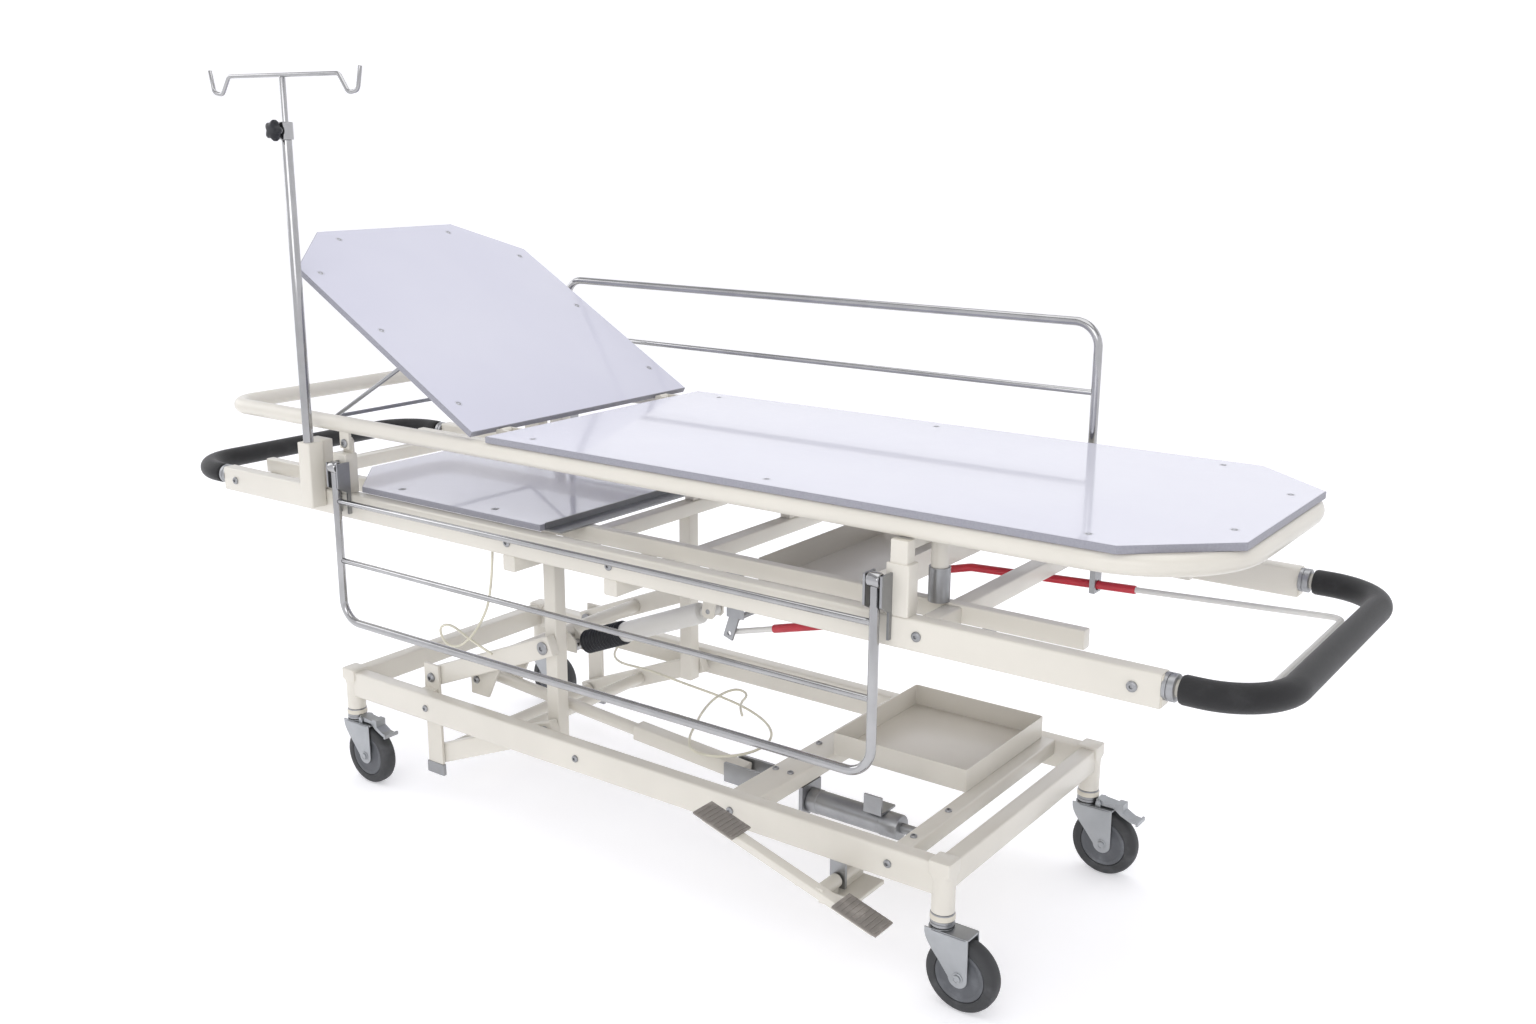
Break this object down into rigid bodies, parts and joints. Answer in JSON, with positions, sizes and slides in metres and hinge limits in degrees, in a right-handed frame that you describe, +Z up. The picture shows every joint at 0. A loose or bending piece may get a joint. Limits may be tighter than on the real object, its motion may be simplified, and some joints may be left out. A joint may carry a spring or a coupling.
{
  "type": "ambulance cot",
  "caption": "wheeled patient cot with parallelogram lift, tilting top frame, adjustable backrest, fold-down side rails, padded end handles and infusion pole",
  "frame": {"origin": "floor point under the middle of the chassis rails, on the centre plane between the two sides", "axes": "+Z up, +X towards the foot end, +Y towards the far side (the side with the raised rail)"},
  "size_m": [2.424, 0.77, 1.4559],
  "materials": {
    "cream_paint": "satin",
    "zinc_steel": "satin",
    "bright_chrome": "polished",
    "grey_cast": "satin",
    "wheel_rubber": "matte",
    "black_foam": "matte",
    "laminate_board": "gloss",
    "pad_rubber": "matte",
    "red_sleeve": "satin",
    "black_plastic": "matte",
    "cream_cable": "satin"
  },
  "bodies": {
    "base": {"base_side_rails": "cream_paint", "base_posts": "cream_paint", "base_cross_tubes": "cream_paint", "equipment_tray": "cream_paint", "lift_brackets": "cream_paint", "base_fasteners": "zinc_steel", "base_brackets": "zinc_steel", "pump_cylinder": "zinc_steel", "castor_collars": "zinc_steel", "lock_cable": "cream_cable"},
    "pedal": {"pedal_arm": "cream_paint", "pedal_pads": "pad_rubber"},
    "upper_arms": {"upper_lift_arms": "cream_paint"},
    "lower_arms": {"lower_lift_arms": "cream_paint"},
    "lock_outer": {"lock_strut_outer": "cream_paint"},
    "lock_inner": {"lock_strut_inner": "cream_paint"},
    "spring_cylinder": {"gas_spring_cylinder": "cream_paint"},
    "spring_rod": {"gas_spring_rod": "bright_chrome", "gas_spring_boot": "black_plastic"},
    "chassis": {"chassis_rails": "cream_paint", "chassis_cross_tubes": "cream_paint", "chassis_inner_rails": "cream_paint", "lift_legs": "cream_paint", "chassis_fasteners": "zinc_steel", "chassis_brackets": "zinc_steel", "cable_trough": "cream_paint", "column_sleeves": "cream_paint", "handle_tubes": "cream_paint", "handle_grips": "black_foam", "rail_pivot_lugs": "zinc_steel", "cassette_shelf": "laminate_board", "lift_cable": "cream_cable"},
    "columns": {"tilt_columns": "cream_paint"},
    "top_frame": {"top_frame_tube": "cream_paint", "top_cross_tubes": "cream_paint", "main_board": "laminate_board", "main_board_screws": "zinc_steel"},
    "backrest": {"backrest_board": "laminate_board", "backrest_frame": "cream_paint", "backrest_screws": "zinc_steel"},
    "stay": {"backrest_stay": "zinc_steel"},
    "near_rail": {"near_side_rail": "bright_chrome"},
    "far_rail": {"far_side_rail": "bright_chrome"},
    "pole_tube": {"iv_pole_tube": "zinc_steel"},
    "pole_rod": {"iv_pole_rod": "zinc_steel"},
    "pole_knob": {"iv_pole_knob": "black_plastic"},
    "release": {"release_rod": "zinc_steel", "release_sleeves": "red_sleeve"},
    "cranks": {"release_cranks": "zinc_steel"},
    "fork_head_near": {"castor_fork_head_near": "grey_cast"},
    "wheel_head_near": {"castor_wheel_head_near": "wheel_rubber"},
    "brake_head": {"brake_lever_head": "zinc_steel"},
    "fork_head_far": {"castor_fork_head_far": "grey_cast"},
    "wheel_head_far": {"castor_wheel_head_far": "wheel_rubber"},
    "fork_foot_near": {"castor_fork_foot_near": "grey_cast"},
    "wheel_foot_near": {"castor_wheel_foot_near": "wheel_rubber"},
    "fork_foot_far": {"castor_fork_foot_far": "grey_cast"},
    "wheel_foot_far": {"castor_wheel_foot_far": "wheel_rubber"},
    "brake_foot": {"brake_lever_foot": "zinc_steel"}
  },
  "joints": [
    {"name": "lift", "type": "hinge", "parent": "base", "child": "upper_arms", "pos_m": [-0.529, 0, 0.262], "axis": [0, -1, 0], "range_deg": [-25, 20]},
    {"name": "lift_level", "type": "hinge", "parent": "upper_arms", "child": "chassis", "pos_m": [-0.217, 0, 0.39], "axis": [0, -1, 0], "range_deg": [-20.5, 25.5]},
    {"name": "lower_arms_swing", "type": "hinge", "parent": "base", "child": "lower_arms", "pos_m": [-0.529, 0, 0.09], "axis": [0, -1, 0], "range_deg": [-25.5, 20.5]},
    {"name": "lock_strut_swing", "type": "hinge", "parent": "base", "child": "lock_outer", "pos_m": [0.195, -0.165, 0.225], "axis": [0, -1, 0], "range_deg": [-4, 4.5]},
    {"name": "lock_strut_slide", "type": "slide", "parent": "lock_outer", "child": "lock_inner", "axis": [-0.9979, 0, 0.0649], "range_m": [-0.002, 0.002]},
    {"name": "gas_spring_swing", "type": "hinge", "parent": "chassis", "child": "spring_cylinder", "pos_m": [0.006, 0, 0.448], "axis": [0, -1, 0], "range_deg": [-11, 9]},
    {"name": "gas_spring_stroke", "type": "slide", "parent": "spring_cylinder", "child": "spring_rod", "axis": [-0.9249, 0, -0.3801], "range_m": [-0.009, 0.0115]},
    {"name": "top_frame_tilt", "type": "hinge", "parent": "chassis", "child": "top_frame", "pos_m": [-0.682, 0, 0.74], "axis": [0, -1, 0], "range_deg": [0, 4]},
    {"name": "column_rise", "type": "slide", "parent": "chassis", "child": "columns", "axis": [0, 0, 1], "range_m": [0, 0.0905]},
    {"name": "backrest_tilt", "type": "hinge", "parent": "top_frame", "child": "backrest", "pos_m": [-0.306, 0, 0.799], "axis": [0, 1, 0], "range_deg": [-29.5, 45]},
    {"name": "backrest_stay_fold", "type": "hinge", "parent": "backrest", "child": "stay", "pos_m": [-0.53251, 0, 0.90668], "axis": [0, 1, 0], "range_deg": [-90, 59]},
    {"name": "near_rail_fold", "type": "hinge", "parent": "chassis", "child": "near_rail", "pos_m": [0, -0.345, 0.7], "axis": [-1, 0, 0], "range_deg": [0, 180]},
    {"name": "far_rail_fold", "type": "hinge", "parent": "chassis", "child": "far_rail", "pos_m": [0, 0.345, 0.7], "axis": [-1, 0, 0], "range_deg": [0, 180]},
    {"name": "pole_swivel", "type": "hinge", "parent": "chassis", "child": "pole_tube", "pos_m": [-0.745, -0.345, 0.7], "axis": [0, 0, 1], "continuous": true},
    {"name": "pole_height", "type": "slide", "parent": "pole_tube", "child": "pole_rod", "axis": [0, 0, 1], "range_m": [-0.07, 0.25]},
    {"name": "pole_knob_turn", "type": "hinge", "parent": "pole_tube", "child": "pole_knob", "pos_m": [-0.745, -0.37, 1.342], "axis": [0, -1, 0], "continuous": true},
    {"name": "release_pull", "type": "slide", "parent": "chassis", "child": "release", "axis": [1, 0, 0], "range_m": [0, 0.015], "stiffness_N_per_m": 500},
    {"name": "release_crank", "type": "hinge", "parent": "chassis", "child": "cranks", "pos_m": [0.22, 0, 0.545], "axis": [0, -1, 0], "range_deg": [0, 20]},
    {"name": "pedal_rock", "type": "hinge", "parent": "base", "child": "pedal", "pos_m": [0.483, -0.3, 0.15], "axis": [0, -1, 0], "range_deg": [-9, 9]},
    {"name": "swivel_head_near", "type": "hinge", "parent": "base", "child": "fork_head_near", "pos_m": [-0.735, -0.278, 0.11], "axis": [0, 0, 1], "continuous": true},
    {"name": "roll_head_near", "type": "hinge", "parent": "fork_head_near", "child": "wheel_head_near", "pos_m": [-0.695, -0.278, 0.0625], "axis": [0, 1, 0], "continuous": true},
    {"name": "brake_press_head", "type": "hinge", "parent": "fork_head_near", "child": "brake_head", "pos_m": [-0.708, -0.278, 0.1415], "axis": [0, 1, 0], "range_deg": [0, 4]},
    {"name": "swivel_head_far", "type": "hinge", "parent": "base", "child": "fork_head_far", "pos_m": [-0.735, 0.278, 0.11], "axis": [0, 0, 1], "continuous": true},
    {"name": "roll_head_far", "type": "hinge", "parent": "fork_head_far", "child": "wheel_head_far", "pos_m": [-0.695, 0.278, 0.0625], "axis": [0, 1, 0], "continuous": true},
    {"name": "swivel_foot_near", "type": "hinge", "parent": "base", "child": "fork_foot_near", "pos_m": [0.679, -0.278, 0.11], "axis": [0, 0, 1], "continuous": true},
    {"name": "roll_foot_near", "type": "hinge", "parent": "fork_foot_near", "child": "wheel_foot_near", "pos_m": [0.719, -0.278, 0.0625], "axis": [0, 1, 0], "continuous": true},
    {"name": "swivel_foot_far", "type": "hinge", "parent": "base", "child": "fork_foot_far", "pos_m": [0.679, 0.278, 0.11], "axis": [0, 0, 1], "continuous": true},
    {"name": "roll_foot_far", "type": "hinge", "parent": "fork_foot_far", "child": "wheel_foot_far", "pos_m": [0.719, 0.278, 0.0625], "axis": [0, 1, 0], "continuous": true},
    {"name": "brake_press_foot", "type": "hinge", "parent": "fork_foot_far", "child": "brake_foot", "pos_m": [0.706, 0.278, 0.1415], "axis": [0, 1, 0], "range_deg": [0, 4]}
  ],
  "couplings": [
    {"joint": "lift_level", "follows": "lift", "ratio": -1},
    {"joint": "lower_arms_swing", "follows": "lift", "ratio": 1},
    {"joint": "lock_strut_swing", "follows": "lift", "ratio": -0.14569},
    {"joint": "lock_strut_slide", "follows": "lift", "m_per_rad": 0.003107},
    {"joint": "gas_spring_swing", "follows": "lift", "ratio": 0.42153},
    {"joint": "gas_spring_stroke", "follows": "lift", "m_per_rad": -0.024842},
    {"joint": "column_rise", "follows": "top_frame_tilt", "m_per_rad": 1.286},
    {"joint": "backrest_stay_fold", "follows": "backrest_tilt", "ratio": -2},
    {"joint": "release_crank", "follows": "release_pull", "rad_per_m": 22.222}
  ]
}
